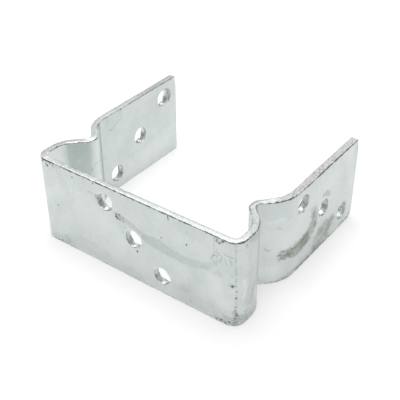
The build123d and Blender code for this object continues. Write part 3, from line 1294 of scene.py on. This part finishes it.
@dataclass(frozen=True)
class WearAndLight:
    """What gives the clean skin its uneven coat, marks and painted light and shade, in millimetres."""

    sizes: StripSizes
    line: FoldLine
    coat: Grain = Grain(10, (((26.0, 26.0, 9.0), 0.05), ((6.0, 6.0, 9.0), 0.022), ((1.8, 1.8, 9.0), 0.008)))
    stroke_seed: int = 1000
    stroke_seed_step: int = 7
    face_share: float = 0.75
    lip_room: float = 1.0
    knock_fade: Span = (1.2, 0.2)

    def apply(
        self, skin: Skin, holes: Sequence[Hole], strokes: Sequence[Stroke], nicks: Sequence[Nick]
    ) -> None:
        """Wears the flat skin: moves its vertices and fills its wear and edge columns.

        Args:
            skin: The skin, which is changed.
            holes: The strip's holes.
            strokes: The marks on the broad faces.
            nicks: The knocks on the arrises.
        """
        places = skin.places.copy()
        shearing = Shearing(self.line, self.sizes.height, self.sizes.half)
        shearing.shape(skin, places)
        shearing.mark(skin, places)
        punching = Punching(self.sizes.half, shearing)
        for number, hole in enumerate(holes):
            punching.mark(skin, places, hole, number)
        # The coat hangs from its highest lump, and nothing stands proud of the outer face, so the
        # bracket stays inside its part's box.
        lift = self.coat.on(places) - sum(height for _, height in self.coat.layers)
        lift *= skin.zones == Zone.FACE.value
        for number, stroke in enumerate(strokes):
            self._draw(skin, places, lift, stroke, self.stroke_seed + self.stroke_seed_step * number)
        for nick in nicks:
            away = places - np.array([nick.along, nick.up, nick.through])
            near = ease(np.linalg.norm(away, axis=1) / nick.radius, *self.knock_fade)
            lift -= near * nick.depth
            skin.wear_and_light[:, 0] = np.maximum(skin.wear_and_light[:, 0], near * nick.soil)
        lift[(places[:, 2] > 0) & (lift > 0)] = 0.0
        skin.places += skin.normals * lift[:, None]
        skin.places[:, 1] = np.clip(skin.places[:, 1], 0.0, self.sizes.height)

    def _draw(self, skin: Skin, places: np.ndarray, lift: np.ndarray, stroke: Stroke, seed: int) -> None:
        """Draws one mark on its face.

        Args:
            skin: The skin whose wear takes the tints of the mark.
            places: Where its points lie on the strip.
            lift: How far each point is moved out of its face, which takes the dent.
            stroke: The mark.
            seed: Seed of its uneven cover.
        """
        course = stroke.course(self.line)
        margin = course[:, 2].max() / 2 + stroke.soft + stroke.ragged + self.lip_room
        chosen = boxed(places[:, :2], course, margin)
        chosen = chosen[places[chosen, 2] * stroke.side.value > self.sizes.half * self.face_share]
        if not len(chosen):
            return
        cover, lip = stroke.cover(places[chosen], self.line, seed)
        lift[chosen] += stroke.lip * lip - stroke.depth * cover
        amounts = np.array([stroke.soil, stroke.stain, stroke.bloom])
        skin.wear_and_light[chosen] = 1 - (1 - skin.wear_and_light[chosen]) * (1 - cover[:, None] * amounts)


def add_node(tree: bpy.types.NodeTree, kind: str, *inputs: Any, **settings: Any) -> bpy.types.Node:
    """Adds a node to a tree, sets it and links it.

    Args:
        tree: The node tree.
        kind: The node's type name, without ShaderNode in front.
        inputs: What the first inputs take, in order: a value, a socket that feeds it, or a
            node whose first output does.
        settings: The same by the name of an input, or a value by the name of a property.

    Returns:
        The node.
    """
    node = tree.nodes.new("ShaderNode" + kind)
    for name, value in [*settings.items(), *enumerate(inputs)]:
        source = value.outputs[0] if isinstance(value, bpy.types.Node) else value
        if isinstance(source, bpy.types.NodeSocket):
            tree.links.new(source, node.inputs[name])
        elif hasattr(node, str(name)):
            setattr(node, name, value)
        else:
            node.inputs[name].default_value = value
    return node


def bare_tree(block: bpy.types.Material | bpy.types.World) -> bpy.types.NodeTree:
    """Empties the node tree of a material or a world.

    Args:
        block: The material or world.

    Returns:
        Its node tree, with no nodes.
    """
    block.use_nodes = True
    block.node_tree.nodes.clear()
    return block.node_tree


def put_in_scene(name: str, data: bpy.types.ID) -> bpy.types.Object:
    """Makes an object and links it to the scene.

    Args:
        name: The object's name.
        data: Its mesh, lamp or camera.

    Returns:
        The object.
    """
    made = bpy.data.objects.new(name, data)
    bpy.context.scene.collection.objects.link(made)
    return made


@dataclass(frozen=True)
class DippedZinc:
    """Hot-dip galvanised steel, sheared, punched and folded, then rubbed and stained in use.

    The zinc froze as a satin grey skin whose crystals are too fine to see one by one, so the
    eye gets soft lighter and darker clouds, a few pin holes, and grey rubbed places. The cut
    edges are streaked where the blade sheared them and grainy where the steel tore. Light and
    shade are painted in too: a dark line along the arrises and rims, shade and highlights in the
    bores, a paler sheared band, and darker and paler bands by the folds. A pair is where
    something starts to show and where it is whole, and a bite is how far the grit breaks a film up.
    """

    shade: str = "#CED4D1"
    cool: str = "#D0D7D7"
    body: str = "#D4DAD8"
    bloom: str = "#D9DEDD"
    # Paler zinc blooms, and the painted highlights on the sheared band, in the bores and by the folds.
    splash: str = "#E4E9E8"
    torn: str = "#BCBEBD"
    pitted: str = "#828480"
    # Stains, and the painted shade down the bend and in the bores.
    dull: str = "#83877A"
    grime: str = "#6C6C65"
    # Painted shade: the dark line along the arrises and rims, for the dark room they reflect.
    line: str = "#72736E"
    torn_bite: float = 0.3
    dull_bite: float = 0.16
    arris_shade_bite: float = 0.6
    grime_bite: float = 0.7
    cloud_mm: float = 11.0
    bloom_mm: float = 2.4
    bloom_share: float = 0.5
    cloud_detail: float = 2.0
    run_mm: Point = (4.0, 22.0, 4.0)
    run_share: float = 0.3
    run_detail: float = 1.0
    cloud_range: Span = (0.6, 1.2)
    cool_stop: float = 0.3
    body_stop: float = 0.55
    # Real pin holes are finer than this: they are drawn about 0.4 mm wide so that they show.
    pin_mm: float = 6.0
    pin_edge: Span = (0.05, 0.025)
    pin_chance: Span = (0.6, 0.9)
    pin_tone: float = 0.6
    grit_mm: float = 0.7
    grit_detail: float = 3.0
    grit_harshness: float = 0.6
    grit_range: Span = (0.3, 0.7)
    pit_mm: float = 0.8
    pit_detail: float = 0.5
    pit_range: Span = (0.54, 0.65)
    pit_tone: float = 0.7
    pit_spread: float = 0.55
    metallic: float = 0.85
    roughness: float = 0.34
    grit_roughness: float = 0.16
    stain_roughness: float = 0.2
    bloom_roughness: float = -0.06
    torn_roughness: float = 0.16
    sheared_roughness: float = -0.14
    relief_mm: float = 0.02
    relief_grain_mm: float = 1.6
    relief_detail: float = 3.0

    def material(self) -> bpy.types.Material:
        """Makes the material.

        Returns:
            The material.
        """
        material = bpy.data.materials.new("hot_dip_zinc_on_sheared_steel")
        tree = bare_tree(material)
        place, wear_and_light, edge = (
            add_node(tree, "Attribute", attribute_name=name).outputs["Vector"] for name in (PLACE, WEAR_AND_LIGHT, EDGE)
        )
        soil, stain, bloom = add_node(tree, "SeparateXYZ", wear_and_light).outputs
        cut, arris, torn = add_node(tree, "SeparateXYZ", edge).outputs
        grit = add_node(
            tree,
            "TexNoise",
            place,
            Scale=1 / self.grit_mm,
            Detail=self.grit_detail,
            Roughness=self.grit_harshness,
        )
        specks = add_node(tree, "TexNoise", place, Scale=1 / self.pit_mm, Detail=self.pit_detail)
        pits = add_node(tree, "MapRange", specks, *self.pit_range, 0.0, self.pit_tone)
        spread = add_node(tree, "Math", torn, self.pit_spread, operation="POWER")
        colour = self._clouds(tree, place)
        # The bloom and stain shares carry painted highlights and shade as well as zinc tones, and the arris
        # share is painted shade.
        for tint, share in (
            (self.splash, bloom),
            (self.torn, self._speckled(tree, torn, grit, self.torn_bite)),
            (self.pitted, add_node(tree, "Math", spread, pits, operation="MULTIPLY")),
            (self.dull, self._speckled(tree, stain, grit, self.dull_bite)),
            (self.line, self._speckled(tree, arris, grit, self.arris_shade_bite)),
            (self.grime, self._speckled(tree, soil, grit, self.grime_bite)),
            (self.grime, self._pins(tree, place)),
        ):
            mix = add_node(tree, "Mix", share, data_type="RGBA")
            tree.links.new(colour, mix.inputs[MIX_UNDER])
            mix.inputs[MIX_OVER].default_value = linear(tint)
            colour = mix.outputs[MIX_RESULT]
        rough: Any = self.roughness
        for amount, share in (
            (grit, self.grit_roughness),
            (stain, self.stain_roughness),
            (bloom, self.bloom_roughness),
            (torn, self.torn_roughness),
            (add_node(tree, "Math", cut, torn, operation="SUBTRACT", use_clamp=True), self.sheared_roughness),
        ):
            rough = add_node(tree, "Math", amount, share, rough, operation="MULTIPLY_ADD")
        skin = add_node(tree, "TexNoise", place, Scale=1 / self.relief_grain_mm, Detail=self.relief_detail)
        height = add_node(tree, "Math", torn, grit, skin, operation="MULTIPLY_ADD")
        relief = add_node(tree, "Bump", Strength=1.0, Distance=self.relief_mm * MM, Height=height)
        shader = add_node(tree, "BsdfPrincipled", colour, self.metallic, rough, Normal=relief)
        add_node(tree, "OutputMaterial", shader)
        return material

    def _clouds(self, tree: bpy.types.NodeTree, place: bpy.types.NodeSocket) -> bpy.types.NodeSocket:
        """Paints the zinc's own tones: broad clouds, small blooms, and faint runs down the face.

        Args:
            tree: The node tree.
            place: The place on the flat strip, in millimetres.

        Returns:
            The colour.
        """
        broad = add_node(tree, "TexNoise", place, Scale=1 / self.cloud_mm, Detail=self.cloud_detail)
        small = add_node(tree, "TexNoise", place, Scale=1 / self.bloom_mm, Detail=self.cloud_detail)
        drawn = add_node(tree, "Mapping", place, Scale=tuple(1 / size for size in self.run_mm))
        runs = add_node(tree, "TexNoise", drawn, Scale=1.0, Detail=self.run_detail)
        mixed = add_node(tree, "Math", small, self.bloom_share, broad, operation="MULTIPLY_ADD")
        mixed = add_node(tree, "Math", runs, self.run_share, mixed, operation="MULTIPLY_ADD")
        tone = add_node(tree, "ValToRGB", add_node(tree, "MapRange", mixed, *self.cloud_range))
        ramp = tone.color_ramp
        ramp.elements[0].color = linear(self.shade)
        ramp.elements[1].color = linear(self.bloom)
        ramp.elements.new(self.cool_stop).color = linear(self.cool)
        ramp.elements.new(self.body_stop).color = linear(self.body)
        return tone.outputs[0]

    def _pins(self, tree: bpy.types.NodeTree, place: bpy.types.NodeSocket) -> bpy.types.Node:
        """Pricks sparse pin holes.

        Args:
            tree: The node tree.
            place: The place on the flat strip, in millimetres.

        Returns:
            A node that gives how much of a pin hole lies at the place.
        """
        cells = add_node(tree, "TexVoronoi", place, Scale=1 / self.pin_mm)
        chance = add_node(tree, "SeparateXYZ", cells.outputs["Color"])
        near = add_node(tree, "MapRange", cells.outputs["Distance"], *self.pin_edge)
        picked = add_node(tree, "MapRange", chance, *self.pin_chance, 0.0, self.pin_tone)
        return add_node(tree, "Math", near, picked, operation="MULTIPLY")

    def _speckled(
        self, tree: bpy.types.NodeTree, amount: bpy.types.NodeSocket, grit: bpy.types.Node, bite: float
    ) -> bpy.types.Node:
        """Breaks an amount up with the grit, so that a half-covered place is speckled.

        Args:
            tree: The node tree.
            amount: The amount, from 0 to 1.
            grit: The grit's noise.
            bite: How far the grit decides, from 0 for an even film to 1 for clear specks.

        Returns:
            A node that gives the broken-up amount.
        """
        low = add_node(tree, "MapRange", grit, *self.grit_range, 0.0, bite)
        high = add_node(tree, "Math", low, 1.0 - bite, operation="ADD")
        return add_node(tree, "MapRange", amount, low, high)


@dataclass(frozen=True)
class SoftBox:
    """A studio lamp behind a square of diffusing cloth, in metres and watts."""

    name: str
    place: Point
    watts: float
    size: float = 0.5

    def hang(self) -> None:
        """Hangs the lamp, turned to the bracket."""
        lamp = bpy.data.lights.new(self.name, "AREA")
        lamp.shape = "SQUARE"
        lamp.size = self.size
        lamp.energy = self.watts
        holder = put_in_scene(self.name, lamp)
        holder.location = self.place
        holder.rotation_euler = (-Vector(self.place)).to_track_quat("-Z", "Y").to_euler()


@dataclass(frozen=True)
class Studio:
    """A pale table under soft lamps, and the camera that looks at it.

    The table top is matt white laminate, which gives the eye an even pale ground with the
    bracket's soft shadow on it. Places are in metres and angles in degrees.
    """

    lamps: tuple[SoftBox, ...] = (
        SoftBox("rear_softbox", (0.0, 0.893, 0.325), 3.4),
        SoftBox("front_softbox", (0.0, -0.611, 0.728), 1.8),
        SoftBox("left_softbox", (-0.893, 0.0, 0.325), 2.4),
        SoftBox("rear_left_softbox", (-0.432, 0.432, 0.728), 1.2),
        SoftBox("top_softbox", (0.0, 0.0, 0.95), 5.6),
    )
    world_strength: float = 0.4
    laminate: str = "#F2F3F2"
    glow_share: float = 0.55
    floor_half: float = 3.0
    camera_place: Point = (0.16849, -0.22674, 0.21512)
    camera_yaw: float = -36.601
    camera_pitch: float = 35.575
    camera_roll: float = -0.267
    lens: float = 72.94
    clip_start: float = 0.01

    def set_up(self) -> None:
        """Lays the floor, hangs the lamps, lights the room and places the camera."""
        bpy.context.scene.view_settings.view_transform = "Standard"
        self._floor()
        self._world()
        for lamp in self.lamps:
            lamp.hang()
        self._camera()

    def _floor(self) -> None:
        """Lays a wide white table top, which shows white to the lens, in gloss and through glass."""
        half = self.floor_half
        mesh = bpy.data.meshes.new("table_top")
        corners = [(-half, -half, 0), (half, -half, 0), (half, half, 0), (-half, half, 0)]
        mesh.from_pydata(corners, [], [(0, 1, 2, 3)])
        material = bpy.data.materials.new("matt_white_laminate")
        tree = bare_tree(material)
        rays = add_node(tree, "LightPath").outputs
        seen: Any = rays["Is Camera Ray"]
        for ray in ("Is Glossy Ray", "Is Transmission Ray"):
            seen = add_node(tree, "Math", seen, rays[ray], operation="MAXIMUM")
        share = add_node(tree, "Math", seen, self.glow_share, operation="MULTIPLY")
        board = add_node(tree, "BsdfDiffuse", Color=linear(self.laminate))
        glow = add_node(tree, "Emission", Strength=1.0)
        add_node(tree, "OutputMaterial", add_node(tree, "MixShader", share, board, glow))
        mesh.materials.append(material)
        floor = put_in_scene("table_top", mesh)

    def _world(self) -> None:
        """Lights the room evenly, and shows it white to the lens."""
        world = bpy.data.worlds.new("studio_room")
        bpy.context.scene.world = world
        tree = bare_tree(world)
        room = add_node(tree, "Background", Strength=self.world_strength)
        white = add_node(tree, "Background", Strength=1.0)
        to_lens = add_node(tree, "LightPath").outputs["Is Camera Ray"]
        add_node(tree, "OutputWorld", add_node(tree, "MixShader", to_lens, room, white))

    def _camera(self) -> None:
        """Places the camera above and to the right of the front plate."""
        yaw, pitch, roll = (math.radians(a) for a in (self.camera_yaw, self.camera_pitch, self.camera_roll))
        ahead = Vector((math.sin(yaw) * math.cos(pitch), math.cos(yaw) * math.cos(pitch), -math.sin(pitch)))
        level = Vector((math.cos(yaw), -math.sin(yaw), 0))
        above = level.cross(ahead)
        right = level * math.cos(roll) + above * math.sin(roll)
        top = -level * math.sin(roll) + above * math.cos(roll)
        lens = bpy.data.cameras.new("camera")
        lens.lens = self.lens
        lens.clip_start = self.clip_start
        camera = put_in_scene("camera", lens)
        turned = Matrix((right, top, -ahead)).transposed().to_4x4()
        camera.matrix_world = Matrix.Translation(self.camera_place) @ turned
        bpy.context.scene.camera = camera


class Bracket:
    """The folded bracket: the strip's skin, worn, folded and dressed."""

    def __init__(self) -> None:
        """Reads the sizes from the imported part."""
        self.sizes = StripSizes.from_part()
        self.line = FoldLine(self.sizes)
        self.strip = FlatStrip(self.sizes, self.line)

    def build(self) -> bpy.types.Object:
        """Builds the bracket's mesh.

        Returns:
            The mesh object, in the part's frame.
        """
        handling = Handling(self.line, self.sizes.height, self.sizes.half)
        strokes = PressMarks().strokes() + handling.strokes()
        courses: dict[Side, list[np.ndarray]] = {side: [] for side in Side}
        for stroke in strokes:
            if stroke.soft < self.strip.sharp_mark:
                courses[stroke.side].append(stroke.course(self.line))
        skin = self.strip.skin(courses)
        WearAndLight(self.sizes, self.line).apply(skin, self.strip.holes(), strokes, handling.knocks())
        points, outward = self.line.place(skin.places[:, 0])
        flat = points + outward * skin.places[:, 2:]
        folded = np.column_stack([flat, skin.places[:, 1]]) * MM
        mesh = bpy.data.meshes.new("folded_strip")
        mesh.from_pydata(folded.tolist(), [], skin.faces)
        mesh.polygons.foreach_set("use_smooth", np.ones(len(mesh.polygons), bool))
        for name, values in ((PLACE, skin.places), (WEAR_AND_LIGHT, skin.wear_and_light), (EDGE, skin.edge)):
            attribute = mesh.attributes.new(name, "FLOAT_VECTOR", "POINT")
            attribute.data.foreach_set("vector", values.astype(np.float32).ravel())
        mesh.validate()
        mesh.update()
        return put_in_scene("folded_strip", mesh)

    def dress(self, piece: bpy.types.Object) -> None:
        """Gives the bracket its finish and its place in the part.

        Args:
            piece: The bracket's mesh object.
        """
        piece.data.materials.append(DippedZinc().material())
        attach(piece, "root")
        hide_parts(NODE)


def main() -> None:
    """Builds the bracket, dresses it and lights it."""
    logging.basicConfig(level=logging.INFO, format="%(name)s: %(message)s")
    bracket = Bracket()
    strip = bracket.build()
    bracket.dress(strip)
    LOG.info("%s: %d vertices, %d faces", strip.name, len(strip.data.vertices), len(strip.data.polygons))
    Studio().set_up()


if __name__ == "__main__":
    main()
